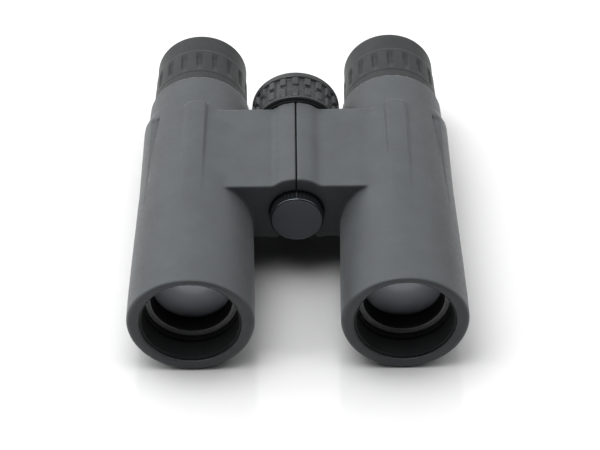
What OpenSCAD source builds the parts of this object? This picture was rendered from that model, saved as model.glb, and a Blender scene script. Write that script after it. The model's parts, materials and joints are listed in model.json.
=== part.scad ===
// Roof-prism binoculars, 30 mm objectives, with a central focusing hinge.
// Origin: middle of the length and width, on the surface that the barrels rest on.
// +X is the user's left barrel, +Y points to the eyepieces, +Z is up.
// A station is a distance in mm behind the plane of the two objective rims.

/* [Overall] */
// Length from the objective rims to the eyecup rims
overall_length = 146; // [146:0.5:148]
// Distance between the barrel axes with the hinge fully open
barrel_spacing = 72; // [72:0.5:74]
// Height of the hinge axis above the barrel axes
hinge_rise = 6.2; // [6:0.1:6.4]

/* [Barrels] */
// Outer radius of the rubber at the objective end
front_r = 21.6; // [21.4:0.1:21.8]
// Outer radius of the rubber in the middle of the barrel
waist_r = 20.5; // [20.3:0.1:20.6]
// Outer radius of the rubber at the eyepiece end
rear_r = 18.7; // [18.6:0.1:18.9]
// Thickness of the rubber armour
skin = 1.6; // [1.4:0.1:1.8]
// Radius of the open hood in front of each objective
hood_r = 16.47; // [16.45:0.01:16.5]

/* [Bridge] */
// Station of the front face of the bridge
bridge_front = 50.8; // [50.6:0.1:50.8]
// Station of the rear face of the bridge
bridge_rear = 96.2; // [96.2:0.1:96.3]
// Height of the deck above the barrel axes
deck_rise = 17.9; // [17.6:0.1:18.1]
// Depth of the underside below the barrel axes
belly_drop = 5.2; // [5:0.1:5.4]
// Radius of the raised cover over the hinge
cover_r = 14.65; // [14.5:0.05:14.8]
// Width of the seam along the top of the hinge
seam_w = 0.6; // [0.5:0.1:0.7]
// Angle that the hinge folds through
fold = 60; // [50:1:60]

/* [Focus wheel] */
// Radius of the wheel at the crown of its grip
wheel_r = 16.5; // [16:0.1:16.5]
// Number of raised pads round the grip, in each of two rows
wheel_pads = 22; // [18:1:24]
// Travel of the focusing lenses each way from the middle
focus_travel = 2.25; // [2:0.05:2.25]

/* [Eyecups] */
// Outer radius of the eyecup at its rim
cup_r = 17; // [16.8:0.1:17.1]
// Number of recessed slots round the eyecup
cup_slots = 18; // [16:1:20]

/* [Socket cap] */
// Radius of the knurled cap over the tripod socket
cap_r = 9.3; // [9:0.1:9.3]
// Number of knurl grooves round the cap
cap_knurls = 40; // [30:1:44]

/* [Hidden] */
$fn = 96;
e = 0.02;    // overlap that keeps cuts clean
run = 0.08;  // radial clearance of a running fit
gap = 0.3;   // clearance round parts that swing past each other
axis_z = front_r;
barrel_x = barrel_spacing / 2;
hinge_z = axis_z + hinge_rise;
axis_dist = norm([barrel_x, hinge_rise]);
tilt = atan(hinge_rise / barrel_x);
// barrel stations
lip = 1;
front_end = 10;
tube_front_r = 17.9;  // outer radius of the rigid tube round the hood
crown_front = 19.1;   // height of the rubber over the barrel axis at the front
crown_rise = 2.06;    // angle at which it climbs towards the eyepieces
crown_r = 22.5;       // how round it is across
waist = 61;
tube_end = 116;
edge_r = 1.8;
filter_groove = 8.6;
filter_groove_w = 0.7;
seat_r = 16;         // bore that the objective cell screws into
// optics
bore_r = 15.6;
cell_s = 11.2;
cell_end = 28;
lens_r = 15;
crown_s = 16.6;
crown_t = 6;
crown_r1 = 55;
crown_r2 = 60;
flint_end = 25.2;
seal_s = 26.4;
focus_s = 73;
focus_lens_r = 12.5;
focus_cell_s = [70, 77];
prism_s = 85;
prism_h = 9;
prism_w = 8.5;
prism_l = 21.6;
prism_gap = 0.6;
prism_long = 16.8;   // length of the prism's sloped back
clip_screw_s = [prism_s + 1.5, prism_s + prism_l - 0.9];
// eyepiece
eye_tube_r = 13.2;
eye_tube_s = 109;
eye_tube_end = 141.5;
eye_seal_s = 112;
dioptre_pin_s = 118.5;
ocular_s = [112.4, 139.4];
eye_lens_s = 132;
ocular_r = 12.15;
collar_end = 121;
collar_r = 15.5;
ring_front_r = 17.7;
ring_rear_r = 17.58;
slider_r = 14.6;
slider_s = 124;
slider_l = 10;
cup_s = 121.2;
cup_band_s = 135.6;
cup_round = 2;
eye_lens_r = 10.5;
// hinge
knuckle_r = 9.2;
pin_r = 5.5;
hinge_front = 51;
knuckle_1 = 56.3;
knuckle_2 = 56.5;
spool_zone_0 = 62;
spool_zone_1 = 84;
knuckle_3 = 89.8;
knuckle_4 = 90;
screw_r = 3.22;
spool_r = 7;
groove_r = 5.2;
arm_t = 2.6;
arm_w = 6;
sleeve_r = 8.8;
sleeve_in = 7.6;
socket_r = 3.175;
// wheel stations
wheel_s = 97.1;
wheel_end = 113.4;
hub_r = 13.6;
recess_s = 112.2;    // floor of the recess that the end plate fills
plate_r = 12.45;
screw_end = 107;
wheel_screw_s = 103;
wheel_screw_r = 1.6;
thread_bore = 2.97;
spool_s = [69.5, 76.5];
// socket cap stations
cap_s = 46.4;
cap_back = 50.6;

// ---------------------------------------------------------------- helpers

// Points on an arc from angle a0 to a1, for a profile.
function arc(cx, cy, r, a0, a1, n = 6) =
  [for (i = [0 : n]) let (a = a0 + (a1 - a0) * i / n) [cx + r * cos(a), cy + r * sin(a)]];

// Children stand along an axis that points to the eyepieces, at a station.
module along(station, x = 0, z = axis_z)
  translate([x, station - overall_length / 2, z])
    rotate([-90, 0, 0])
      children();

// The same, on the left barrel's axis or on the hinge's.
module on_barrel(station = 0)
  along(station, barrel_x)
    children();
module on_hinge(station = 0)
  along(station, 0, hinge_z)
    children();

// The right-hand copy of something made for the left.
module right_hand()
  mirror([1, 0, 0])
    children();

// A plain tube that starts at a station.
module ring(s0, s1, r_out, r_in)
  translate([0, 0, s0])
    difference() {
      cylinder(h = s1 - s0, r = r_out);
      translate([0, 0, -1])
        cylinder(h = s1 - s0 + 2, r = r_in);
    }

// A rod that starts at a station.
module rod(s0, s1, r)
  translate([0, 0, s0])
    cylinder(h = s1 - s0, r = r);

// A wedge about the axis: half_angle each side of direction a.
module wedge(s0, s1, a, half_angle, reach = 40)
  translate([0, 0, s0])
    rotate([0, 0, a])
      linear_extrude(s1 - s0)
        polygon([[0, 0], reach * [1, tan(half_angle)], reach * [1, -tan(half_angle)]]);

// A ball whose surface is the face of a lens.
module lens_ball(station, r)
  translate([0, 0, station])
    sphere(r = r, $fn = 300);

// A solid of revolution from points of radius and station.
module turned(points)
  rotate_extrude()
    polygon(points);

// Turns local +X from the barrel axis to the hinge axis.
module toward_hinge()
  rotate([0, 0, 180 + tilt])
    children();

// ---------------------------------------------------------------- body of each half

// Outside of the barrel's rubber, lower on top at the front.
module barrel_skin()
  intersection() {
    turned(concat([[0, 0]], arc(front_r - edge_r, edge_r, edge_r, -90, 0),
      [[front_r, front_end], [waist_r, waist], [rear_r, tube_end], [0, tube_end]]));
    translate([0, crown_r - crown_front, 0])
      rotate([crown_rise, 0, 0])
        rod(-5, tube_end + 5, crown_r);
  }

// Rigid tube of the barrel, d inside the surface of the rubber behind the hood.
module barrel_tube(d)
  turned([[0, lip], [tube_front_r, lip], [tube_front_r, front_end], [waist_r - d, waist],
    [rear_r - d, tube_end], [0, tube_end]]);

// Half of the bridge and hinge cover, d inside the surface of the rubber.
module bridge_form(d) {
  length = bridge_rear - bridge_front - 2 * d;
  height = deck_rise + belly_drop - 2 * d;
  corner = [0, bridge_front + d - overall_length / 2, axis_z - belly_drop + d];
  translate(corner)
    cube([barrel_x, length, height]);
  intersection() {
    on_hinge(bridge_front + d)
      cylinder(h = length, r = cover_r - d);
    translate(corner - [cover_r, 1, 0])
      cube([2 * cover_r, length + 2, 2 * cover_r]);
  }
}

// Everything on the left of the seam, down to the edge that closes when the hinge folds.
module left_side() {
  reach = 90;
  under = 90 - fold / 2 - 1;
  on_hinge(-1)
    linear_extrude(overall_length + 2)
      polygon([[seam_w / 2, 0], [seam_w / 2, -reach], [reach, -reach], [reach, reach],
        [reach / tan(under), reach]]);
}

module left_form(d)
  intersection() {
    union() {
      on_barrel() {
        if (d == 0)
          barrel_skin();
        else
          barrel_tube(d);
      }
      bridge_form(d);
    }
    left_side();
  }

// Raised ridges of the rubber: on top, on the outer side, and the heel that it rests on.
module ridges() {
  on_barrel()
    intersection() {
      rod(50, 97, waist_r + 0.05);
      translate([-4.5, -30, 50])
        cube([9, 30, 50]);
    }
  on_barrel()
    intersection() {
      turned([[0, 50], [waist_r - 0.1, 50], [waist_r - 0.1, 100], [rear_r + 0.1, 111], [0, 111]]);
      wedge(49, 112, 0, 44);
    }
  on_barrel()
    intersection() {
      turned([[0, 58], [waist_r - 0.3, 58], [front_r, 74], [front_r, 96], [front_r - 1, 97], [0, 97]]);
      translate([-6, 0, 50])
        cube([12, 30, 50]);
    }
}

// Bores of the barrel: hood, filter groove, objective seat, shoulder, long rear bore.
module barrel_bores() {
  groove_end = filter_groove + filter_groove_w;
  turned([[0, -1], [hood_r, -1], [hood_r, filter_groove], [hood_r + 0.5, filter_groove],
    [hood_r + 0.5, groove_end], [seat_r, groove_end], [seat_r, cell_end], [lens_r - 0.3, cell_end],
    [lens_r - 0.3, cell_end + 2], [bore_r, cell_end + 2], [bore_r, tube_end + 1], [0, tube_end + 1]]);
}

// Channel that the focusing arm crosses, from the barrel bore to the hinge.
module arm_channel() {
  wide = arm_w + 1;
  long = arm_t + 2 * focus_travel + 1.9;
  on_barrel(focus_s - long / 2)
    toward_hinge()
      translate([10, -wide / 2, 0])
        cube([axis_dist - 10, wide, long]);
}

// Rigid frame of one half. Its own knuckles fill the zones in own; the others are cleared.
module housing(own, others, pin_bore)
  difference() {
    union() {
      left_form(skin);
      for (z = own)
        on_hinge() rod(z[0], z[1], knuckle_r);
    }
    on_barrel() barrel_bores();
    arm_channel();
    for (z = others)
      on_hinge() rod(z[0], z[1], knuckle_r + gap);
    on_hinge() rod(spool_zone_0, spool_zone_1, knuckle_r + gap);
    on_hinge() rod(hinge_front - 1, bridge_rear + 1, pin_bore);
  }

module left_housing()
  color([0.07, 0.075, 0.08])
    housing(
      [[knuckle_2, spool_zone_0], [spool_zone_1, knuckle_3]],
      [[bridge_front - 1, knuckle_2], [knuckle_3, bridge_rear + 1]],
      pin_r);

module right_housing()
  color([0.07, 0.075, 0.08])
    right_hand()
      housing(
        [[hinge_front, knuckle_1], [knuckle_4, bridge_rear]],
        [[knuckle_1, spool_zone_0 + e], [spool_zone_1 - e, knuckle_4]],
        pin_r + run);

// Rubber armour: the outer form less the frame, open at the hood and round the hinge.
module armour()
  difference() {
    union() {
      left_form(0);
      ridges();
    }
    left_form(skin);
    on_barrel() rod(-1, lip + e, hood_r);
    on_hinge() rod(bridge_front - 1, bridge_rear + 1, knuckle_r + gap);
  }

module left_armour()
  color([0.32, 0.34, 0.345])
    armour();
module right_armour()
  color([0.32, 0.34, 0.345])
    right_hand() armour();

// ---------------------------------------------------------------- objectives

// Threaded metal cell that carries the doublet.
module objective_cell() {
  outer = seat_r - run;
  groove_in = outer - 0.72;
  groove_s = [seal_s - 0.6, seal_s + 0.6];
  color([0.05, 0.05, 0.055])
    on_barrel()
      turned([[lens_r + 0.05, cell_s], [outer - 0.3, cell_s], [outer, cell_s + 0.3],
        [outer, groove_s[0]], [groove_in, groove_s[0]], [groove_in, groove_s[1]], [outer, groove_s[1]],
        [outer, cell_end], [lens_r - 1, cell_end], [lens_r - 1, flint_end + 0.05],
        [lens_r + 0.05, flint_end + 0.05]]);
}

// O-ring in the groove of the cell.
module objective_seal()
  color([0.03, 0.03, 0.03])
    on_barrel(seal_s)
      rotate_extrude()
        translate([seat_r - 0.4, 0])
          circle(r = 0.39);

// Ribbed ring that holds the doublet, and darkens the bore in front of it.
module objective_retainer() {
  ribs = 7;
  deep = 6.4;
  step = deep / ribs;
  mouth_r = 14.7;
  throat_r = 13.8;
  slope = (mouth_r - throat_r) / deep;
  front = cell_s + 0.35;
  steps = [for (i = [0 : ribs - 1]) each [
    [mouth_r - slope * step * i, front + step * i],
    [mouth_r - slope * step * i - 0.28, front + step * (i + 0.6)]]];
  color([0.04, 0.04, 0.045])
    on_barrel()
      turned(concat(steps, [[throat_r, front + deep], [lens_r - 0.3, front + deep + 0.3],
        [lens_r, front + deep + 0.3], [lens_r, front]]));
}

// Front element of the doublet, convex on both sides.
module crown_lens()
  color([0.75, 0.82, 0.9, 0.5])
    on_barrel(crown_s)
      intersection() {
        cylinder(h = crown_t, r = lens_r);
        lens_ball(crown_r1, crown_r1);
        lens_ball(crown_t - crown_r2, crown_r2);
      }

// Rear element of the doublet, hollow in front and flat behind.
module flint_lens()
  color([0.75, 0.85, 0.82, 0.5])
    on_barrel()
      difference() {
        rod(crown_s + crown_t - 2.1, flint_end, lens_r);
        lens_ball(crown_s + crown_t + 0.1 - crown_r2, crown_r2);
      }

// ---------------------------------------------------------------- focusing lens

// Sliding cell with an arm and a fork that rides in the groove of the spool.
module focus_cell() {
  cell_r = bore_r - 0.1;
  fork_r = groove_r + 0.15;
  fork_out = spool_r - 0.1;
  back = focus_s - arm_t / 2;
  color([0.12, 0.12, 0.13])
    on_barrel() {
      turned([[focus_lens_r + 0.05, focus_cell_s[0] + 1], [focus_lens_r - 1, focus_cell_s[0] + 1],
        [focus_lens_r - 1, focus_cell_s[0]], [cell_r, focus_cell_s[0]], [cell_r, focus_cell_s[1]],
        [focus_lens_r + 0.05, focus_cell_s[1]]]);
      toward_hinge()
        difference() {
          union() {
            translate([cell_r - 1.5, -arm_w / 2, back])
              cube([axis_dist - cell_r + 1.5 - fork_r, arm_w, arm_t]);
            translate([axis_dist, 0, 0])
              intersection() {
                rod(back, back + arm_t, fork_out);
                wedge(back - 1, back + arm_t + 1, 180, 40);
              }
          }
          translate([axis_dist, 0, 0])
            rod(back - 1, back + arm_t + 1, fork_r);
        }
    }
}

// Thin lens, hollow on both sides.
module focus_lens() {
  front = focus_cell_s[0] + 1.1;
  back = focus_cell_s[1] - 0.9;
  front_curve = 45;
  rear_curve = 60;
  color([0.75, 0.85, 0.82, 0.5])
    on_barrel()
      difference() {
        rod(front, back, focus_lens_r);
        lens_ball(front + 1.5 - front_curve, front_curve);
        lens_ball(back - 1.5 + rear_curve, rear_curve);
      }
}

// ---------------------------------------------------------------- prisms

// Outline of the half-penta prism in the plane of the light path.
prism_outline = [[0, -prism_h], [0, 2], [prism_long, prism_h], [19.5, prism_h], [1.5, -prism_h]];

// An outline of station and height, extruded across the barrel.
module prism_bar(outline, half_w)
  translate([-half_w, 0, 0])
    rotate([90, 0, 90])
      linear_extrude(2 * half_w)
        polygon([for (p = outline) [-p[1], p[0]]]);

module half_penta_prism()
  color([0.8, 0.88, 0.95, 0.5])
    on_barrel(prism_s)
      prism_bar(prism_outline, prism_w);

// Roof prism: the same outline turned end for end, its long back cut to a right-angled roof.
module roof_prism() {
  back_slope = atan((prism_h - 2) / prism_long);
  outline = [for (p = prism_outline) [prism_l + prism_gap - p[0], -p[1]]];
  ridge = [prism_l + prism_gap - prism_long, -prism_h];
  color([0.8, 0.88, 0.95, 0.5])
    on_barrel(prism_s)
      intersection() {
        prism_bar(outline, prism_w);
        translate([0, -ridge[1], ridge[0]])
          rotate([-back_slope, 0, 0])
            translate([0, 0, -40])
              rotate([0, 0, -135])
                cube([60, 60, 80]);
      }
}

// Cage that holds both prisms, open on top.
module prism_holder() {
  front = prism_s - 1;
  back = prism_s + prism_l + 1.6;
  slack = 0.1;
  color([0.1, 0.1, 0.11])
    on_barrel()
      difference() {
        rod(front, back, bore_r - 0.05);
        translate([-prism_w - slack, -prism_h - slack, prism_s - slack])
          cube([2 * (prism_w + slack), 2 * (prism_h + slack), prism_l + prism_gap + 2 * slack]);
        translate([-prism_w - slack, -bore_r - 1, prism_s + 3])
          cube([2 * (prism_w + slack), bore_r, prism_l - 6]);
        rod(front - 1, prism_s + 1, 8);
        rod(prism_s + prism_l - 1, back + 1, 8);
        for (s = clip_screw_s)
          translate([0, -prism_h - 6, s])
            rotate([90, 0, 0])
              cylinder(h = 10, r = 0.8, center = true);
      }
}

// Spring strip that presses the prisms into the cage.
module prism_clip() {
  t = 0.4;
  y = -prism_h - 0.1;
  color([0.75, 0.75, 0.76])
    on_barrel()
      translate([-3, 0, 0])
        rotate([90, 0, 90])
          linear_extrude(6)
            polygon([[y, prism_s + 4.5], [y, prism_s + prism_l - 4], [y - t, prism_s + prism_l - 4],
              [y - t, prism_s + 8], [y - 3.6, prism_s + 4.9], [y - 3.6, prism_s + 4.5]]);
}

// Two screws that close the ends of the cage.
module clip_screws()
  color([0.6, 0.6, 0.62])
    on_barrel()
      for (s = clip_screw_s)
        translate([0, -prism_h - 1.1, s])
          rotate([90, 0, 0])
            cylinder(h = 4.6, r = 0.78);

// ---------------------------------------------------------------- eyepieces

// Fixed tube that screws into the barrel; two keyways guide the slider.
module eyepiece_tube(pin_slot) {
  outer = bore_r - 0.02;
  groove_s = [eye_seal_s - 0.6, eye_seal_s + 0.6];
  color([0.06, 0.06, 0.065])
    on_barrel()
      difference() {
        turned([[ocular_r, eye_tube_s], [outer, eye_tube_s], [outer, groove_s[0]],
          [bore_r - 0.8, groove_s[0]], [bore_r - 0.8, groove_s[1]], [outer, groove_s[1]], [outer, tube_end],
          [collar_r, tube_end], [collar_r, collar_end], [eye_tube_r, collar_end],
          [eye_tube_r, eye_tube_end], [ocular_r, eye_tube_end]]);
        for (a = [0, 180])
          rotate([0, 0, a])
            translate([eye_tube_r - 0.75, -1, collar_end])
              cube([2, 2, 30]);
        if (pin_slot)
          translate([ocular_r - 1, -1, dioptre_pin_s - 2.1])
            cube([6, 2, 4.2]);
      }
}

// O-ring between the eyepiece tube and the barrel.
module eyepiece_seal()
  color([0.03, 0.03, 0.03])
    on_barrel(eye_seal_s)
      rotate_extrude()
        translate([bore_r - 0.41, 0])
          circle(r = 0.38);

// Barrel of the eyepiece optics. With a dioptre it slides, and a pin reaches the ring.
module ocular_cell(dioptre) {
  outer = ocular_r - run;
  stop_r = eye_lens_r - 1;
  bore = eye_lens_r + 0.05;
  front = ocular_s[0];
  back = ocular_s[1];
  color([0.05, 0.05, 0.055])
    on_barrel() {
      turned([[stop_r, front], [outer, front], [outer, back], [stop_r, back], [stop_r, back - 0.8],
        [bore, back - 0.8], [bore, front + 1.2], [stop_r, front + 1.2]]);
      if (dioptre)
        translate([outer - 0.6, 0, dioptre_pin_s])
          rotate([0, 90, 0])
            cylinder(h = collar_r - outer + 0.5, r = 0.8);
    }
}

// Front element of the eyepiece.
module field_lens() {
  thick = 6.5;
  curve = 26;
  color([0.75, 0.82, 0.9, 0.5])
    on_barrel(ocular_s[0] + 1.3)
      intersection() {
        cylinder(h = thick, r = eye_lens_r);
        lens_ball(thick - curve, curve);
      }
}

// Rear element of the eyepiece, nearest the eye.
module eye_lens() {
  thick = 6.4;
  front_curve = 30;
  rear_curve = 34;
  color([0.75, 0.82, 0.9, 0.5])
    on_barrel(eye_lens_s)
      intersection() {
        cylinder(h = thick, r = eye_lens_r);
        lens_ball(front_curve, front_curve);
        lens_ball(thick - rear_curve, rear_curve);
      }
}

// Smooth ring between the barrel and the eyecup.
module collar_ring(bore)
  color([0.3, 0.315, 0.32])
    on_barrel()
      turned([[bore, tube_end + 0.2], [ring_front_r - 0.2, tube_end + 0.2],
        [ring_front_r, tube_end + 0.4], [ring_rear_r, collar_end - 0.1],
        [ring_rear_r - 0.1, collar_end], [bore, collar_end]]);

// Keyed sleeve that rises without turning and carries the eyecup.
module eyecup_slider()
  color([0.85, 0.85, 0.82])
    on_barrel() {
      ring(slider_s, slider_s + slider_l, slider_r, eye_tube_r + run);
      for (a = [0, 180])
        rotate([0, 0, a])
          translate([eye_tube_r - 0.6, -0.9, slider_s])
            cube([1, 1.8, slider_l]);
    }

// Rubber eyecup with recessed slots.
module eyecup() {
  inner = slider_r + run;
  wall = eye_tube_end + 0.7;
  rim_r = cup_r - cup_round;
  slot_l = 12.2;
  slot_w = 3.4;
  slot_d = 0.8;
  color([0.3, 0.315, 0.32])
    on_barrel()
      difference() {
        turned(concat([[inner, cup_s], [ring_rear_r - 0.15, cup_s], [ring_rear_r, cup_s + 0.15],
            [cup_r + 0.25, cup_band_s - 0.6], [cup_r, cup_band_s]],
          arc(rim_r, overall_length - cup_round, cup_round, 0, 90),
          [[rim_r - 0.6, overall_length], [ocular_r + 0.6, wall + 0.3], [ocular_r + 0.6, wall],
            [inner, wall]]));
        for (i = [0 : cup_slots - 1])
          rotate([0, 0, 360 * (i + 0.5) / cup_slots])
            translate([cup_r + 0.4 - slot_d, -slot_w / 2, cup_s + 1.3])
              cube([3, slot_w, slot_l]);
      }
}

// ---------------------------------------------------------------- hinge and focusing

// Front pin of the hinge, pressed into the left knuckle. Its rear end guides the focus screw.
module front_hinge_pin()
  color([0.5, 0.5, 0.52])
    on_hinge()
      difference() {
        rod(hinge_front, spool_zone_0 + 0.6, pin_r);
        rod(hinge_front - 1, hinge_front + 7, 4.4);
        rod(spool_zone_0 - 2, spool_zone_0 + 2, 2 + run);
      }

// Brass insert for a tripod adapter.
module tripod_socket()
  color([0.72, 0.56, 0.26])
    on_hinge()
      ring(hinge_front, hinge_front + 7, 4.4, socket_r);

// Hollow rear pin of the hinge: the focus screw turns inside it.
module rear_hinge_bush()
  color([0.5, 0.5, 0.52])
    on_hinge()
      ring(spool_zone_1 - 0.6, bridge_rear, pin_r, screw_r + run);

// Sleeve round the spool. One window lets the left arm in, the wide one lets the right arm swing.
module hinge_sleeve() {
  window = arm_t + 2 * focus_travel + 1.9;
  s0 = focus_s - window / 2;
  side = 28;
  color([0.09, 0.09, 0.1])
    on_hinge()
      difference() {
        ring(spool_zone_0, spool_zone_1, sleeve_r, sleeve_in);
        wedge(s0, s0 + window, tilt, side, 12);
        wedge(s0, s0 + window, 180 - tilt - fold / 2, side + fold / 2, 12);
      }
}

// Spring washer that gives the wheel its drag.
module tension_washer()
  color([0.7, 0.7, 0.72])
    on_hinge()
      ring(bridge_rear + 0.05, bridge_rear + 0.3, 7.5, screw_r + run);

// Screw that turns with the wheel and drives the spool.
module focus_screw() {
  pitch = 1;
  crest_r = 2.9;
  root_r = 2.4;
  first = spool_zone_0 + 1.2;
  turns = 19;
  thread = [for (i = [0 : turns - 1]) each [
    [root_r, first + pitch * i], [crest_r, first + pitch * (i + 0.3)],
    [crest_r, first + pitch * (i + 0.7)], [root_r, first + pitch * (i + 1)]]];
  color([0.62, 0.62, 0.64])
    on_hinge()
      difference() {
        turned(concat(
          [[0, spool_zone_0 - 1.6], [2, spool_zone_0 - 1.6], [2, first - 0.4], [root_r, first - 0.4]],
          thread,
          [[screw_r, first + turns + 0.6], [screw_r, screw_end], [0, screw_end]]));
        rod(wheel_screw_s - 1, screw_end + 1, wheel_screw_r);
      }
}

// Nut with a ring groove for the two forks.
module focus_spool() {
  groove_s = [focus_s - arm_t / 2 - 0.1, focus_s + arm_t / 2 + 0.1];
  color([0.72, 0.56, 0.26])
    on_hinge()
      turned([[thread_bore, spool_s[0]], [spool_r, spool_s[0]], [spool_r, groove_s[0]],
        [groove_r, groove_s[0]], [groove_r, groove_s[1]], [spool_r, groove_s[1]],
        [spool_r, spool_s[1]], [thread_bore, spool_s[1]]]);
}

// Core of the focus wheel.
module wheel_hub() {
  head_room = 4.4;
  color([0.05, 0.05, 0.055])
    on_hinge()
      turned([[screw_r, bridge_rear + 0.35], [14.7, bridge_rear + 0.35], [14.9, wheel_s - 0.35],
        [14.7, wheel_s - 0.05], [hub_r, wheel_s - 0.05], [hub_r, wheel_end - 0.4],
        [hub_r - 0.4, wheel_end], [plate_r + 0.05, wheel_end], [plate_r + 0.05, recess_s],
        [head_room, recess_s], [head_room, screw_end],
        [screw_r, screw_end]]);
}

// Rubber grip of the wheel, with two rows of raised pads between its rims.
module wheel_grip() {
  pad = [1.2, 2.3, 4.2];
  floor_r = wheel_r - 0.8;
  rim = 0.25;
  row_s = [wheel_s + 1.9, wheel_s + 8.2];
  color([0.06, 0.062, 0.065])
    on_hinge() {
      turned([[hub_r, wheel_s], [wheel_r - 1, wheel_s], [wheel_r - rim, wheel_s + 0.6],
        [wheel_r - rim, wheel_s + 1.3], [floor_r, wheel_s + 1.6], [floor_r, wheel_s + 12.8],
        [wheel_r - rim, wheel_s + 13.2], [wheel_r - rim, wheel_end - 1], [wheel_r - 1, wheel_end - 0.4],
        [hub_r, wheel_end - 0.4]]);
      for (i = [0 : wheel_pads - 1], s = row_s)
        rotate([0, 0, 360 * (i + 0.5) / wheel_pads])
          translate([wheel_r - 0.1 - pad[0], -pad[1] / 2, s])
            cube(pad);
    }
}

// Plate that closes the rear of the wheel.
module wheel_end_plate() {
  face = recess_s + 1;
  color([0.09, 0.09, 0.095])
    on_hinge()
      turned([[0, recess_s], [plate_r, recess_s], [plate_r, face - 0.2], [plate_r - 0.25, face],
        [9, face], [8.6, face - 0.3], [0, face - 0.3]]);
}

// Screw that holds the wheel on the focus screw.
module wheel_screw()
  color([0.6, 0.6, 0.62])
    on_hinge() {
      rod(wheel_screw_s, screw_end + 0.2, wheel_screw_r - 0.02);
      difference() {
        rod(screw_end + 0.1, screw_end + 2.6, 4.1);
        rod(screw_end + 1.4, screw_end + 3, wheel_screw_r);
      }
    }

// Knurled cap with a stud that screws into the tripod socket.
module socket_cap() {
  edge = 0.7;
  stud_l = 4;
  seal_well_r = 5.2;
  color([0.12, 0.125, 0.13])
    on_hinge()
      difference() {
        turned([[0, cap_s], [cap_r - edge, cap_s], [cap_r, cap_s + edge], [cap_r, cap_back - 0.3],
          [cap_r - 0.3, cap_back], [seal_well_r, cap_back], [seal_well_r, cap_back - 0.5],
          [socket_r - run, cap_back - 0.5],
          [socket_r - run, hinge_front + stud_l - 0.4], [socket_r - 0.5, hinge_front + stud_l],
          [0, hinge_front + stud_l]]);
        for (i = [0 : cap_knurls - 1])
          rotate([0, 0, 360 * i / cap_knurls])
            translate([cap_r, 0, cap_s + edge + 0.5])
              rotate([0, 0, 45])
                translate([-0.3, -0.3, 0])
                  cube([0.6, 0.6, 5]);
      }
}

// Seal ring that travels with the cap.
module cap_seal()
  color([0.03, 0.03, 0.03])
    on_hinge()
      ring(cap_back - 0.45, hinge_front - 0.05, 5.1, socket_r + 0.05);

// ---------------------------------------------------------------- the nodes

left_housing();
right_housing();
left_armour();
right_armour();
objective_cell();  // left_objective_cell
right_hand() objective_cell();  // right_objective_cell
objective_seal();  // left_objective_seal
right_hand() objective_seal();  // right_objective_seal
objective_retainer();  // left_objective_retainer
right_hand() objective_retainer();  // right_objective_retainer
crown_lens();  // left_crown_lens
right_hand() crown_lens();  // right_crown_lens
flint_lens();  // left_flint_lens
right_hand() flint_lens();  // right_flint_lens
focus_cell();  // left_focus_cell
right_hand() focus_cell();  // right_focus_cell
focus_lens();  // left_focus_lens
right_hand() focus_lens();  // right_focus_lens
prism_holder();  // left_prism_holder
right_hand() prism_holder();  // right_prism_holder
half_penta_prism();  // left_half_penta_prism
right_hand() half_penta_prism();  // right_half_penta_prism
roof_prism();  // left_roof_prism
right_hand() roof_prism();  // right_roof_prism
prism_clip();  // left_prism_clip
right_hand() prism_clip();  // right_prism_clip
clip_screws();  // left_clip_screws
right_hand() clip_screws();  // right_clip_screws
eyepiece_tube(false);  // left_eyepiece_tube
right_hand() eyepiece_tube(true);  // right_eyepiece_tube
eyepiece_seal();  // left_eyepiece_seal
right_hand() eyepiece_seal();  // right_eyepiece_seal
ocular_cell(false);  // left_ocular_cell
right_hand() ocular_cell(true);  // right_ocular_cell
field_lens();  // left_field_lens
right_hand() field_lens();  // right_field_lens
eye_lens();  // left_eye_lens
right_hand() eye_lens();  // right_eye_lens
collar_ring(collar_r);  // left_spacer_ring
right_hand() collar_ring(collar_r + run);  // right_dioptre_ring
eyecup_slider();  // left_eyecup_slider
right_hand() eyecup_slider();  // right_eyecup_slider
eyecup();  // left_eyecup
right_hand() eyecup();  // right_eyecup
front_hinge_pin();
rear_hinge_bush();
hinge_sleeve();
tension_washer();
tripod_socket();
socket_cap();
cap_seal();
focus_screw();
focus_spool();
wheel_hub();
wheel_grip();
wheel_end_plate();
wheel_screw();
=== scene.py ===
"""Binoculars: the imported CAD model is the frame, and soft rubber shapes and finishes are added round it."""

import json

import bpy
import numpy as np
from mathutils import Matrix, Vector


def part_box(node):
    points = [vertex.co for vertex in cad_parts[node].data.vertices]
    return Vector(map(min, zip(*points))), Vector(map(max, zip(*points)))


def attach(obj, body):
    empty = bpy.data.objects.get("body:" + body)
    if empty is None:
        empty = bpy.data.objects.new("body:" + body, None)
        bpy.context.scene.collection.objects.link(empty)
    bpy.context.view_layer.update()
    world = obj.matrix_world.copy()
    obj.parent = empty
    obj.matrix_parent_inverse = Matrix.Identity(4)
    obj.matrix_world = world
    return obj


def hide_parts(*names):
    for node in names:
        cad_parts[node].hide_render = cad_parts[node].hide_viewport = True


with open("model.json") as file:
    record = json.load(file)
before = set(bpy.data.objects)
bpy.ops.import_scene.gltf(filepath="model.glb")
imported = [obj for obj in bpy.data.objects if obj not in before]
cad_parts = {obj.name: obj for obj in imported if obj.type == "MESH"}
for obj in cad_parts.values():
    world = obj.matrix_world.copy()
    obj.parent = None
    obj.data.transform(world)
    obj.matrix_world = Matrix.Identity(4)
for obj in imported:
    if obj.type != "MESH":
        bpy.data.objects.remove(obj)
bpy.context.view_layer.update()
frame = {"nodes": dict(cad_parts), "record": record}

MM = 0.001

# ---------------------------------------------------------------- sizes, from the frame, in mm


def corners(node):
    """Lowest and highest corner of a CAD node, in mm."""
    low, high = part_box(node)
    return np.array(low) / MM, np.array(high) / MM


def centre(node):
    low, high = corners(node)
    return (low + high) / 2


armour_low, armour_high = corners("left_armour")
housing_low = corners("left_housing")[0]
cap_low, cap_high = corners("socket_cap")
cup_low, cup_high = corners("left_eyecup")
grip_low, grip_high = corners("wheel_grip")

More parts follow.
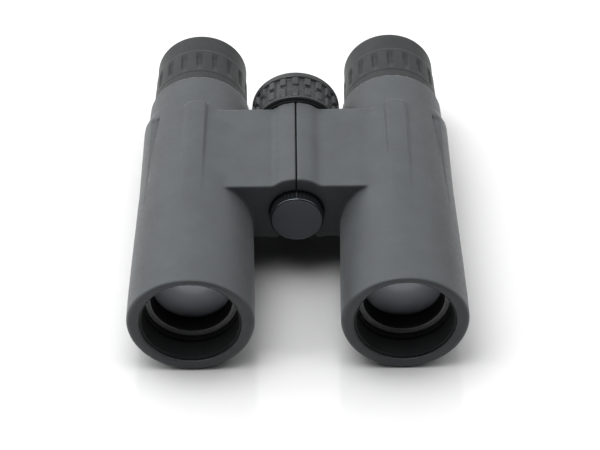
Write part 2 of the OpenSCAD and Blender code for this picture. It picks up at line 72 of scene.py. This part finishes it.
FRONT_Y = armour_low[1]
TUBE_END = armour_high[1] - FRONT_Y
BARREL_X = centre("left_objective_cell")[0]
BARREL_Z = centre("left_objective_cell")[2]
HINGE_Z = centre("front_hinge_pin")[2]
FRONT_R = armour_high[0] - BARREL_X
LIP = housing_low[1] - FRONT_Y
BRIDGE_FRONT = corners("front_hinge_pin")[0][1] - FRONT_Y - 0.2
BRIDGE_REAR = corners("rear_hinge_bush")[1][1] - FRONT_Y

# The rest of the rubber's shape, in mm.
WAIST_R = 20.5
REAR_R = 18.7
FRONT_END = 10
WAIST = 61
EDGE_R = 1.8
TOP_EDGE_R = 0.8  # the front edge is sharper on top
CROWN_FRONT = 19.1
CROWN_RISE = 0.036  # for each mm towards the eyepieces
CROWN_R = 22.5
OPENING_R = 17.2
OPENING_DROP = 0.25
END_GAP = 0.3
SKIN = 1.6
LIP_R = (corners("left_objective_cell")[1][0] - BARREL_X) + 0.55
DECK_RISE = 17.9
BELLY_DROP = 5.2
COVER_R = 14.65
SEAM_W = 0.36
KNUCKLE_R = 9.5
UNDER_ANGLE = 59
COVER_FOOT = 8.1
COVER_LEAN = 42
SIDE_RIDGE_R = 20.4
SIDE_END = 97.5
SCOOP_FRONT = 48
TOP_RIDGE_R = 20.75
RIDGE_FRONT = 42
RIDGE_END = 98.6
HEEL_R = FRONT_R
VOXEL = 0.64


# ---------------------------------------------------------------- signed distances


def smooth_min(a, b, k):
    """Union with a fillet about k wide."""
    h = np.maximum(k - np.abs(a - b), 0) / k
    return np.minimum(a, b) - h * h * k / 4


def round_max(a, b, r):
    """Intersection with its edge rounded to radius r."""
    outside = np.hypot(np.maximum(a + r, 0), np.maximum(b + r, 0))
    return outside + np.minimum(np.maximum(a, b), -r)


def step(x, edge, soft):
    """0 below the edge, 1 above it, over a width of soft."""
    t = np.clip((x - edge) / soft + 0.5, 0, 1)
    return t * t * (3 - 2 * t)


def ramp(x, start, end):
    """0 at start, 1 at end, smooth between them."""
    t = np.clip((x - start) / (end - start), 0, 1)
    return t * t * (3 - 2 * t)


def barrel_radius(s):
    """Radius of the plain barrel at a station."""
    return np.interp(s, [0, FRONT_END, WAIST, TUBE_END], [FRONT_R, FRONT_R, WAIST_R, REAR_R])


def ridge_height(s, u, w):
    """How far the rubber stands off the plain barrel, at station s and offset u, w from its axis."""
    base = barrel_radius(s)
    angle = np.degrees(np.arctan2(w, u))

    # On top: a long ridge, wide at the rear, whose outer flank leans more than its inner one.
    crest = np.interp(s, [RIDGE_FRONT, WAIST, 80, RIDGE_END], [20.95, 21, 21, TOP_RIDGE_R])
    outer_foot = np.interp(s, [RIDGE_FRONT, RIDGE_END], [78.5, 74])
    outer_edge = ramp(angle, outer_foot, 80.5)
    inner_edge = 1 - ramp(angle, 98, np.interp(s, [RIDGE_FRONT, RIDGE_END], [99.5, 103]))
    rear = 1 - ramp(np.hypot(np.maximum(s - RIDGE_END + 3, 0), np.maximum(np.abs(u) - 2.2, 0)), 2.2, 3.4)
    rear = np.where(s < RIDGE_END - 3, 1, rear)
    top = np.maximum(crest - base, 0) * outer_edge * inner_edge * rear

    # On the outer side: a grip that bulges out, under a wedge-shaped scoop that widens to the rear.
    slant = SIDE_END + 3.5 * np.clip((40 - angle) / 24, 0, 1)
    bulge = np.maximum(SIDE_RIDGE_R - base, 0) * (1 - ramp(angle, 33, 44)) * ramp(angle, -52, -40)
    bulge = bulge * (1 - ramp(s, slant, slant + 6.5))
    brink = 33.5
    upper = np.interp(s, [SCOOP_FRONT, 75, SIDE_END], [35, 37.5, 43.8])
    inner = upper - 1
    depth = 0.15 * (upper - brink) * ramp(s, SCOOP_FRONT - 2, SCOOP_FRONT + 4)
    depth = depth * (1 - ramp(s, SIDE_END - 0.9, SIDE_END + 0.5))
    floor_slope = np.clip((angle - brink) / (inner - brink), 0, 1)
    wedge = np.where(angle < inner, floor_slope, 1 - ramp(angle, inner, upper))
    side = bulge - wedge * depth

    # Underneath: the heel that the barrel rests on.
    past_side = np.maximum(np.abs(u) - 3.8, 0)
    past_end = np.maximum(s - 94.8, 0)
    edge = 1 - ramp(np.hypot(past_side, past_end), 1.4, 2.6)
    rest = np.interp(s, [58, 74], [WAIST_R - 0.3, HEEL_R])
    heel = np.maximum(rest - base, 0) * edge * (w < 0)
    return np.where(angle > 58, top, np.where(angle > -60, side, heel))


def outer_form(x, s, z, ends):
    """Outside of one half's rubber before the seam is cut. ends caps it at the rear."""
    u, w = x - BARREL_X, z - BARREL_Z
    r = np.hypot(u, w)
    crown = np.hypot(u, w - (CROWN_FRONT + CROWN_RISE * s - CROWN_R)) - CROWN_R
    barrel = -smooth_min(barrel_radius(s) - r, -crown, 1.2) - ridge_height(s, u, w)
    above = np.degrees(np.arctan2(w, np.abs(u)))
    barrel = round_max(barrel, -s, EDGE_R + (TOP_EDGE_R - EDGE_R) * ramp(above, 5, 50))
    if ends:
        barrel = round_max(barrel, s - TUBE_END + END_GAP, 0.12)

    deck = np.maximum(np.maximum(w - DECK_RISE, -BELLY_DROP - w), u)
    cover = np.hypot(x, z - HINGE_Z) - COVER_R
    lean = np.radians(COVER_LEAN)
    flank = (x - COVER_FOOT) * np.sin(lean) + (w - DECK_RISE) * np.cos(lean)
    cover = round_max(round_max(cover, flank, 0.7), -BELLY_DROP - w, 0.5)
    bridge = smooth_min(deck, cover, 0.9)
    bridge = round_max(bridge, BRIDGE_FRONT - s, 0.45)
    bridge = round_max(bridge, s - BRIDGE_REAR, 0.45)
    inside = np.minimum(s - BRIDGE_FRONT, BRIDGE_REAR - s)
    fillet = 0.4 + 1.6 * ramp(inside, 0, 8)
    return smooth_min(barrel, bridge, fillet)


def armour_form(x, y, z):
    """Rubber skin of the left half: a shell with its seam, hood, rear end and hinge opening."""
    s = y - FRONT_Y
    outside = outer_form(x, s, z, True)
    inside = np.maximum(outer_form(x, np.maximum(s, EDGE_R), z, False) + SKIN, LIP - s)
    shell = round_max(outside, -inside, 0.15)
    seam = SEAM_W / 2 - x
    under = np.radians(UNDER_ANGLE)
    closing = -(x * np.sin(under) + (z - HINGE_Z) * np.cos(under))
    half = np.where(z > HINGE_Z, seam, np.maximum(seam, closing))
    shell = round_max(shell, half, 0.12)
    in_lip = s < LIP + 0.3
    bore = np.where(in_lip, OPENING_R, LIP_R) - np.hypot(x - BARREL_X, z - BARREL_Z + OPENING_DROP * in_lip)
    shell = round_max(shell, bore, 0.25)
    hinge = KNUCKLE_R - np.hypot(x, z - HINGE_Z)
    return np.maximum(shell, hinge)


def surface_net(form, low, high, h):
    """Quads along the zero level of a signed distance, one point per cell, moved onto the level."""
    axes = [np.arange(a - h, b + 2 * h, h) for a, b in zip(low, high)]
    grid = np.meshgrid(*axes, indexing="ij")
    value = form(*grid)
    shape = tuple(n - 1 for n in value.shape)
    total = np.zeros(shape + (3,))
    count = np.zeros(shape)
    crossings = []
    for axis in range(3):
        first = [slice(None)] * 3
        second = [slice(None)] * 3
        first[axis], second[axis] = slice(None, -1), slice(1, None)
        a, b = value[tuple(first)], value[tuple(second)]
        at = np.argwhere((a < 0) != (b < 0))
        va, vb = a[tuple(at.T)], b[tuple(at.T)]
        point = np.stack([axes[k][at[:, k]] for k in range(3)], 1)
        point[:, axis] += h * va / (va - vb)
        across = [k for k in range(3) if k != axis]
        around = []
        for da, db in ((-1, -1), (0, -1), (0, 0), (-1, 0)):
            cell = at.copy()
            cell[:, across[0]] += da
            cell[:, across[1]] += db
            np.add.at(total, tuple(cell.T), point)
            np.add.at(count, tuple(cell.T), 1)
            around.append(np.ravel_multi_index(tuple(cell.T), shape))
        quads = np.stack(around, 1)
        flip = (va < 0) != (axis == 1)
        quads[~flip] = quads[~flip][:, ::-1]
        crossings.append(quads)
    active = np.flatnonzero(count.ravel())
    points = total.reshape(-1, 3)[active] / count.ravel()[active, None]
    number = np.full(count.size, -1)
    number[active] = np.arange(len(active))
    quads = number[np.concatenate(crossings)]
    for _ in range(3):
        points = onto_level(form, points, h)
    return points, quads


def onto_level(form, points, h):
    """One Newton step of the points to the form's zero level."""
    d = 0.05
    value = form(*points.T)
    slope = np.stack(
        [form(*(points + d * np.eye(3)[k]).T) - form(*(points - d * np.eye(3)[k]).T) for k in range(3)], 1
    ) / (2 * d)
    size = np.maximum((slope**2).sum(1), 0.3)
    move = -slope * (value / size)[:, None]
    length = np.linalg.norm(move, axis=1, keepdims=True)
    return points + move * np.minimum(1, 0.35 * h / np.maximum(length, 1e-9))


# ---------------------------------------------------------------- meshes


def new_mesh(name, points, faces, smooth=True):
    """An object from points in mm in the row frame."""
    mesh = bpy.data.meshes.new(name)
    faces = faces.tolist() if isinstance(faces, np.ndarray) else faces
    mesh.from_pydata((np.asarray(points) * MM).tolist(), [], faces)
    mesh.validate()
    mesh.polygons.foreach_set("use_smooth", [smooth] * len(mesh.polygons))
    obj = bpy.data.objects.new(name, mesh)
    bpy.context.scene.collection.objects.link(obj)
    return obj


def mirrored(points, quads):
    return points * np.array([-1, 1, 1]), quads[:, ::-1]


def resample(profile, spacing):
    """Points of a closed profile with no gap over spacing."""
    out = []
    for a, b in zip(profile, profile[1:] + profile[:1]):
        n = max(1, int(np.ceil(np.hypot(b[0] - a[0], b[1] - a[1]) / spacing)))
        out += [(a[0] + (b[0] - a[0]) * i / n, a[1] + (b[1] - a[1]) * i / n) for i in range(n)]
    return np.array(out)


def arc(cr, cs, radius, start, end, n):
    """Points of a profile along an arc, in degrees."""
    angles = np.radians(np.linspace(start, end, n + 1))
    return [(cr + radius * np.cos(a), cs + radius * np.sin(a)) for a in angles]


def revolve(profile, turns, x, z, carve=None):
    """Grid round an axis along Y. profile holds radius and station; carve(angle, s, r) is the depth cut."""
    angle = np.linspace(0, 2 * np.pi, turns, endpoint=False)
    radius = np.broadcast_to(profile[:, 0], (turns, len(profile)))
    station = np.broadcast_to(profile[:, 1], radius.shape)
    theta = np.broadcast_to(angle[:, None], radius.shape)
    if carve is not None:
        radius = radius - carve(theta, station, radius)
    points = np.stack([x + radius * np.cos(theta), station + FRONT_Y, z + radius * np.sin(theta)], -1)
    m = len(profile)
    i, j = np.meshgrid(np.arange(turns), np.arange(m), indexing="ij")
    i2, j2 = (i + 1) % turns, (j + 1) % m
    quads = np.stack([i * m + j, i * m + j2, i2 * m + j2, i2 * m + j], -1).reshape(-1, 4)
    return points.reshape(-1, 3), quads


def turned_solid(profile, turns, x, z, carve=None):
    """Closed solid turned round an axis along Y, with a pole in the middle of each end."""
    points, quads = revolve(profile, turns, x, z, carve)
    m = len(profile)
    quads = quads.reshape(turns, m, 4)[:, :-1].reshape(-1, 4)
    front, rear = len(points), len(points) + 1
    points = np.vstack([points, [x, profile[0, 1] + FRONT_Y, z], [x, profile[-1, 1] + FRONT_Y, z]])
    fans = []
    for i in range(turns):
        j = (i + 1) % turns
        fans += [[i * m, j * m, front], [j * m + m - 1, i * m + m - 1, rear]]
    return points, quads.tolist() + fans


def between(a, b, spacing):
    """Points of a profile from a up to, but not at, b."""
    n = max(1, int(np.ceil(np.hypot(b[0] - a[0], b[1] - a[1]) / spacing)))
    return [(a[0] + (b[0] - a[0]) * i / n, a[1] + (b[1] - a[1]) * i / n) for i in range(n)]


# ---------------------------------------------------------------- pieces


def rubber_armour():
    """Both halves of the armour, as one soft moulded skin each."""
    low = np.array([0, armour_low[1], armour_low[2]])
    points, quads = surface_net(armour_form, low, armour_high, VOXEL)
    for side, (p, q) in (("left", (points, quads)), ("right", mirrored(points, quads))):
        skin = new_mesh(f"{side}_rubber_armour", p, q)
        skin.data.materials.append(MATERIALS["armour_rubber"])
        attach(skin, f"{side}_half")
        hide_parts(f"{side}_armour")


def soft_box(a, b, half_a, half_b, corner, soft):
    """1 inside a rounded rectangle, 0 outside, with a soft edge."""
    pa = np.maximum(np.abs(a) - half_a + corner, 0)
    pb = np.maximum(np.abs(b) - half_b + corner, 0)
    return 1 - step(np.hypot(pa, pb) - corner, 0, soft)


def eyecups():
    """Eyecups with moulded slots, soft edges and a dished rim."""
    slots = 18
    start = cup_low[1] - FRONT_Y - 0.15
    end = cup_high[1] - FRONT_Y
    near_r = (cup_high[0] - cup_low[0]) / 2
    band_r = 17.0
    band = start + 14.4
    inner_r = 14.68
    wall = end - 3.8
    throat_r = 12.75
    rim = 2.2
    slot_front = start + 0.8
    slot_rear = start + 12.9
    slot_wide = 2.2 / 2
    depth = 0.85

    outer = [(near_r - 0.06, start), (near_r, start + 0.06), (band_r + 0.25, band - 0.6), (band_r, band)]
    outer += arc(band_r - rim, end - rim, rim, 0, 90, 10)
    inner = [(band_r - rim - 0.5, end)]
    inner += arc(throat_r + 0.9, wall + 0.9, 0.9, 155, 180, 4)
    inner += [(throat_r, wall), (inner_r, wall), (inner_r, start)]
    profile = resample(outer + inner, 0.36)

    def carve(theta, station, radius):
        pitch = 2 * np.pi / slots
        across = ((theta / pitch) % 1 - 0.5) * pitch * band_r
        wide = slot_wide * (0.7 + 0.3 * ramp(station, slot_front, slot_rear - 4))
        sides = 1 - step(np.abs(across), wide, 0.3)
        ends = ramp(station, slot_front, slot_front + 5) * (1 - ramp(station, slot_rear - 3.5, slot_rear))
        return depth * sides * ends * (radius > inner_r + 1.2)

    for side, x, body in (("left", BARREL_X, "left_cup"), ("right", -BARREL_X, "right_cup")):
        points, quads = revolve(profile, slots * 26, x, BARREL_Z, carve)
        cup = new_mesh(f"{side}_rubber_eyecup", points, quads)
        cup.data.materials.append(MATERIALS["eyecup_rubber"])
        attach(cup, body)
        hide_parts(f"{side}_eyecup")


def wheel_rubber():
    """Grip of the focus wheel: two rows of raised pads between two low rims."""
    pads = 22
    start = grip_low[1] - FRONT_Y
    end = grip_high[1] - FRONT_Y
    top_r = (grip_high[0] - grip_low[0]) / 2 - 0.02
    rim_r = top_r - 0.15
    inner_r = 13.6
    rows = (start + 4, start + 10.3)
    half_long = 2.1
    half_wide = 2.3 / 2
    side_r = 0.75

    outer = arc(rim_r - side_r, start + side_r, side_r, -90, 0, 5)
    outer += [(rim_r, start + 1.3), (top_r, start + 1.7), (top_r, start + 12.7), (rim_r, start + 13.1)]
    outer += arc(rim_r - side_r, end - side_r, side_r, 0, 90, 5)
    profile = resample(outer + [(inner_r, end), (inner_r, start)], 0.3)

    def carve(theta, station, radius):
        pitch = 2 * np.pi / pads
        across = ((theta / pitch) % 1 - 0.5) * pitch * top_r
        pad = sum(soft_box(across, station - s, half_wide, half_long, 0.3, 0.18) for s in rows)
        band = ramp(station, start + 1.2, start + 1.7) * (1 - ramp(station, start + 12.6, start + 13.2))
        return 1.1 * band * (1 - pad) * (radius > inner_r + 1)

    points, quads = revolve(profile, pads * 30, 0, HINGE_Z, carve)
    grip = new_mesh("wheel_rubber_grip", points, quads)
    grip.data.materials.append(MATERIALS["wheel_rubber"])
    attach(grip, "focus_wheel")
    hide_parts("wheel_grip")


def lens(node, body, curves, finish="coated_glass"):
    """Lens that is convex on both faces, the size of its CAD node."""
    low, high = corners(node)
    start, end = low[1] - FRONT_Y, high[1] - FRONT_Y
    r = (high[0] - low[0]) / 2 - 0.01
    rings = np.linspace(0.4, r, 22)
    front = start + curves[0] - np.sqrt(curves[0] ** 2 - rings**2)
    rear = end - curves[1] + np.sqrt(curves[1] ** 2 - rings**2)
    faces = [np.column_stack([rings, front]), np.column_stack([rings[::-1], rear[::-1]])]
    points, quads = turned_solid(np.vstack(faces), 96, (low[0] + high[0]) / 2, BARREL_Z)
    glass_piece = new_mesh(f"{node}_glass", points, quads)
    glass_piece.data.materials.append(MATERIALS[finish])
    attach(glass_piece, body)
    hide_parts(node)


def lenses():
    """The lenses in view from outside, with smooth faces."""
    for side, eye_body in (("left", "left_half"), ("right", "right_ocular")):
        lens(f"{side}_crown_lens", f"{side}_half", (55, 60))
        lens(f"{side}_eye_lens", eye_body, (30, 34), "eye_glass")


def retainers():
    """Ribbed rings in front of the lenses, whose front face is pale grey metal: a painted highlight for the
    glint it catches inside the hood.
    """
    ribs = 7
    for side, x in (("left", BARREL_X), ("right", -BARREL_X)):
        low, high = corners(f"{side}_objective_retainer")
        front, back = low[1] - FRONT_Y, high[1] - FRONT_Y
        outer_r = (high[0] - low[0]) / 2 - 0.01
        mouth_r, throat_r = outer_r - 1.1, outer_r - 1.5
        pitch = (back - front - 0.9) / ribs
        profile = [(outer_r, front), (mouth_r + 0.15, front), (mouth_r, front + 0.15)]
        for k in range(ribs):
            r = mouth_r + (throat_r - mouth_r) * k / ribs
            profile += [(r, front + 0.3 + pitch * k), (r - 0.28, front + 0.3 + pitch * (k + 0.6))]
        profile = np.array(profile + [(throat_r, back), (outer_r, back)])
        points, quads = revolve(profile, 144, x, BARREL_Z)
        ring = new_mesh(f"{side}_ribbed_retainer", points, quads)
        ring.data.materials.append(MATERIALS["black_metal"])
        ring.data.materials.append(MATERIALS["satin_metal"])
        for face in ring.data.polygons:
            face.use_smooth = False
            face.material_index = int(face.center[1] / MM - FRONT_Y < front + 0.2)
        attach(ring, f"{side}_half")
        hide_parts(f"{side}_objective_retainer")


def knob():
    """Knurled cap of the tripod socket, with a flat face and a rounded edge."""
    knurls = 40
    front, stud_end = cap_low[1] - FRONT_Y, cap_high[1] - FRONT_Y
    back = stud_end - 4.4
    r = (cap_high[0] - cap_low[0]) / 2
    edge = 0.6
    groove_depth = 0.42
    well_r = 5.2
    stud_r = 3.05
    behind = [(r, back - 0.3), (r - 0.3, back), (well_r, back), (well_r, back - 0.5)]
    behind += [(stud_r, back - 0.5), (stud_r, stud_end - 0.4), (stud_r - 0.5, stud_end), (0.4, stud_end)]
    profile = between((0.4, front), (r - edge, front), 0.6) + arc(r - edge, front + edge, edge, -90, 0, 8)
    for a, b in zip([(r, front + edge)] + behind, behind):
        profile += between(a, b, 0.4)[1:] + [b]

    def carve(theta, station, radius):
        pitch = 2 * np.pi / knurls
        across = ((theta / pitch) % 1 - 0.5) * pitch * r
        groove = groove_depth * np.clip(1 - np.abs(across) / groove_depth, 0, 1)
        return groove * (radius > r - 0.35) * step(station, front + 1.1, 0.4)

    points, faces = turned_solid(np.array(profile), knurls * 14, 0, HINGE_Z, carve)
    cap = new_mesh("knurled_socket_cap", points, faces)
    cap.data.materials.append(MATERIALS["knob_metal"])
    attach(cap, "cap")
    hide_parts("socket_cap")


# ---------------------------------------------------------------- materials


class Nodes:
    """Short forms for building a material."""

    def __init__(self, name):
        self.material = bpy.data.materials.new(name)
        self.material.use_nodes = True
        self.tree = self.material.node_tree
        self.shader = self.tree.nodes["Principled BSDF"]
        self.place = self.add("ShaderNodeTexCoord").outputs["Object"]

    def add(self, kind, **values):
        node = self.tree.nodes.new(kind)
        for key, value in values.items():
            setattr(node, key, value)
        return node

    def join(self, a, b):
        self.tree.links.new(a, b)

    def set(self, **values):
        for key, value in values.items():
            self.shader.inputs[key.replace("_", " ")].default_value = value

    def noise(self, size_mm, detail=2.0, rough=0.5, stretch=None):
        """Noise whose grain is about size_mm."""
        node = self.add("ShaderNodeTexNoise")
        node.inputs["Scale"].default_value = 1 / (size_mm * MM)
        node.inputs["Detail"].default_value = detail
        node.inputs["Roughness"].default_value = rough
        place = self.place
        if stretch:
            mapping = self.add("ShaderNodeMapping")
            mapping.inputs["Scale"].default_value = stretch
            self.join(place, mapping.inputs["Vector"])
            place = mapping.outputs["Vector"]
        self.join(place, node.inputs["Vector"])
        return node.outputs["Fac"]

    def spread(self, fac, low, high, start=0.3, end=0.7):
        """Maps a noise to a range."""
        node = self.add("ShaderNodeMapRange")
        for key, value in (("From Min", start), ("From Max", end), ("To Min", low), ("To Max", high)):
            node.inputs[key].default_value = value
        self.join(fac, node.inputs["Value"])
        return node.outputs["Result"]

    def tint(self, fac, dark, light):
        """Base colour between two colours."""
        node = self.add("ShaderNodeMix", data_type="RGBA")
        node.inputs["A"].default_value = (*dark, 1)
        node.inputs["B"].default_value = (*light, 1)
        self.join(fac, node.inputs["Factor"])
        self.join(node.outputs["Result"], self.shader.inputs["Base Color"])

    def bump(self, fac, height_mm, strength=1.0):
        node = self.add("ShaderNodeBump")
        node.inputs["Distance"].default_value = height_mm * MM
        node.inputs["Strength"].default_value = strength
        self.join(fac, node.inputs["Height"])
        self.join(node.outputs["Normal"], self.shader.inputs["Normal"])


def rubber(name, dark, light, grain_mm, relief_mm, rough=(0.5, 0.62), sheen=0.15, gloss=0.35):
    """Moulded rubber: soft mottling, a fine cast grain and a dusty sheen."""
    n = Nodes(name)
    n.set(Sheen_Weight=sheen, Sheen_Roughness=0.5, Specular_IOR_Level=gloss)
    n.tint(n.spread(n.noise(9, 3), 0, 1), dark, light)
    n.join(n.spread(n.noise(1.6, 3), *rough), n.shader.inputs["Roughness"])
    n.bump(n.noise(grain_mm, 2, 0.6), relief_mm)
    return n.material


def plastic(name, dark, light, rough, grain_mm=0.25, relief_mm=0.01):
    """Spark-eroded moulded plastic."""
    n = Nodes(name)
    n.tint(n.spread(n.noise(4, 3), 0, 1), dark, light)
    n.join(n.spread(n.noise(0.8, 2), rough - 0.06, rough + 0.06), n.shader.inputs["Roughness"])
    n.bump(n.noise(grain_mm, 2), relief_mm)
    return n.material


def metal(name, dark, light, rough, stretch=(1, 40, 1), metallic=1.0, relief_mm=0.004):
    """Turned or drawn metal, with fine tool lines."""
    n = Nodes(name)
    n.set(Metallic=metallic)
    lines = n.noise(1.2, 3, 0.6, stretch)
    n.tint(n.spread(lines, 0, 1), dark, light)
    n.join(n.spread(lines, rough - 0.07, rough + 0.07), n.shader.inputs["Roughness"])
    n.bump(lines, relief_mm)
    return n.material


def glass(name, tint, coat, clear=1.0):
    """Optical glass with a thin coating. A pale tint on glass that is hardly clear is painted light: it
    stands in for the light that comes through the optics.
    """
    n = Nodes(name)
    n.set(Roughness=0.02, IOR=1.52, Transmission_Weight=clear, Coat_Weight=0.6, Coat_Roughness=0.02)
    n.shader.inputs["Coat Tint"].default_value = (*coat, 1)
    n.tint(n.spread(n.noise(14, 2), 0, 1), tint, tuple(min(1, c * 1.05) for c in tint))
    return n.material


MATERIALS = {
    "armour_rubber": rubber(
        "armour_rubber", (0.096, 0.103, 0.107), (0.108, 0.116, 0.12), 0.3, 0.03, (0.44, 0.54), 0.15, 0.5
    ),
    "eyecup_rubber": rubber(
        "eyecup_rubber", (0.048, 0.0505, 0.052), (0.056, 0.0585, 0.06), 0.35, 0.02, (0.4, 0.5), 0.08, 0.4
    ),
    "wheel_rubber": rubber(
        "wheel_rubber", (0.045, 0.047, 0.049), (0.056, 0.058, 0.06), 0.3, 0.012, (0.24, 0.34), 0.1, 0.6
    ),
    "seal_rubber": rubber("seal_rubber", (0.012, 0.012, 0.012), (0.02, 0.02, 0.02), 0.3, 0.01),
    "housing_plastic": plastic("housing_plastic", (0.034, 0.036, 0.038), (0.044, 0.046, 0.048), 0.5),
    "slider_plastic": plastic("slider_plastic", (0.03, 0.03, 0.031), (0.045, 0.045, 0.046), 0.35),
    "black_metal": metal("black_metal", (0.03, 0.031, 0.033), (0.045, 0.046, 0.048), 0.42, metallic=0.2),
    # Pale grey metal on the objective cells and the retainers' front face: a painted highlight for the glint
    # on the rings inside the hood.
    "satin_metal": metal("satin_metal", (0.5, 0.505, 0.505), (0.6, 0.605, 0.605), 0.45, metallic=0.2),
    "knob_metal": metal(
        "knob_metal", (0.11, 0.118, 0.127), (0.117, 0.125, 0.135), 0.14, metallic=0.75, relief_mm=0.0003
    ),
    "steel": metal("steel", (0.45, 0.45, 0.46), (0.62, 0.62, 0.63), 0.3),
    "brass": metal("brass", (0.6, 0.42, 0.16), (0.74, 0.55, 0.25), 0.3),
    # The objective glass is nearly opaque and pale: painted light for the light that comes through the
    # optics.
    "coated_glass": glass("coated_glass", (0.95, 0.97, 1.0), (0.9, 0.93, 1.0), 0.05),
    "eye_glass": glass("eye_glass", (0.12, 0.13, 0.15), (0.9, 0.93, 1.0), 0.6),
    "prism_glass": glass("prism_glass", (0.9, 0.94, 0.96), (1, 1, 1)),
}


def finish_cad_nodes():
    """Every carried CAD node takes the material of its slot, except the objective cells, which take pale grey
    metal: a painted highlight for the glint on them inside the hood.
    """
    for row in frame["record"]["subparts"]:
        obj = frame["nodes"][row["node"]]
        finish = "satin_metal" if row["node"].endswith("objective_cell") else row["material_slot"]
        obj.data.materials.clear()
        obj.data.materials.append(MATERIALS[finish])


# ---------------------------------------------------------------- camera, light and floor


def camera():
    """The photograph's view: from in front and above, at the height of a standing person at a table."""
    pitch, yaw, roll = np.radians([39.71, 0.136, -0.517])
    forward = np.array([np.sin(yaw) * np.cos(pitch), np.cos(yaw) * np.cos(pitch), -np.sin(pitch)])
    right = np.array([np.cos(yaw), -np.sin(yaw), 0])
    up = np.cross(right, forward)
    turned_right = np.cos(roll) * right + np.sin(roll) * up
    turned_up = -np.sin(roll) * right + np.cos(roll) * up
    data = bpy.data.cameras.new("camera")
    data.lens = 121.3
    data.sensor_width = 36
    data.clip_start = 0.01
    obj = bpy.data.objects.new("camera", data)
    rows = np.column_stack([turned_right, turned_up, -forward])
    place = np.array([-0.0002, -0.499 + FRONT_Y * MM, 0.4569 + BARREL_Z * MM])
    obj.matrix_world = Matrix([[*rows[k], place[k]] for k in range(3)] + [[0, 0, 0, 1]])
    bpy.context.scene.collection.objects.link(obj)
    bpy.context.scene.camera = obj


def soft_light(name, place, target, size, power):
    """A square soft box of the given side, in metres, that looks at a point."""
    data = bpy.data.lights.new(name, "AREA")
    data.size = size
    data.energy = power
    obj = bpy.data.objects.new(name, data)
    obj.location = place
    obj.rotation_euler = (Vector(target) - Vector(place)).to_track_quat("-Z", "Y").to_euler()
    bpy.context.scene.collection.objects.link(obj)


def room():
    """A dim room with soft bright screens round and above the table."""
    world = bpy.data.worlds.new("room")
    world.use_nodes = True
    tree = world.node_tree
    direction = tree.nodes.new("ShaderNodeTexCoord").outputs["Generated"]
    strength = None
    for toward, edge, middle, level in SCREENS:
        facing = tree.nodes.new("ShaderNodeVectorMath")
        facing.operation = "DOT_PRODUCT"
        facing.inputs[1].default_value = Vector(toward).normalized()
        tree.links.new(direction, facing.inputs[0])
        ramp = tree.nodes.new("ShaderNodeMapRange")
        ramp.interpolation_type = "SMOOTHSTEP"
        ramp.inputs["From Min"].default_value = np.cos(np.radians(edge))
        ramp.inputs["From Max"].default_value = np.cos(np.radians(middle))
        ramp.inputs["To Min"].default_value = ROOM_LEVEL if strength is None else 0
        ramp.inputs["To Max"].default_value = level
        tree.links.new(facing.outputs["Value"], ramp.inputs["Value"])
        if strength is None:
            strength = ramp.outputs["Result"]
        else:
            add = tree.nodes.new("ShaderNodeMath")
            tree.links.new(strength, add.inputs[0])
            tree.links.new(ramp.outputs["Result"], add.inputs[1])
            strength = add.outputs["Value"]
    tree.links.new(strength, tree.nodes["Background"].inputs["Strength"])
    tree.nodes["Background"].inputs["Color"].default_value = (1, 1, 1, 1)
    bpy.context.scene.world = world


# Direction, edge and core half-angles in degrees, and radiance of each soft screen round the table.
ROOM_LEVEL = 0.02
SCREENS = [
    ((-0.12, 0.62, 0.75), 80, 30, 0.8),
    ((0, 0.95, 0.3), 45, 15, 0.5),
    ((-0.7, 0.6, 0.5), 45, 20, 0.35),
    ((-0.9, 0.1, 0.5), 50, 20, 1.3),
    ((0.9, 0.1, 0.6), 45, 20, 1.2),
    ((0, 0, 1), 45, 15, 0.6),
]


def studio():
    """Glossy pale table, dim room and soft light from behind and above."""
    half = 8.0
    square = np.array([[-half, -half, 0], [half, -half, 0], [half, half, 0], [-half, half, 0]])
    floor = new_mesh("floor", square / MM, [[0, 1, 2, 3]], smooth=False)
    n = Nodes("table")
    n.set(Roughness=0.08, Specular_IOR_Level=0.5)
    n.tint(n.noise(200, 2), (0.74, 0.74, 0.74), (0.76, 0.76, 0.76))
    floor.data.materials.append(n.material)
    room()
    soft_light("key", (-0.1, -0.08, 0.6), (0, -0.02, 0), 0.4, 1.85)
    view = bpy.context.scene.view_settings
    view.view_transform = "Standard"
    view.gamma = 0.72


# ---------------------------------------------------------------- build

camera()
studio()
finish_cad_nodes()
rubber_armour()
eyecups()
wheel_rubber()
lenses()
retainers()
knob()
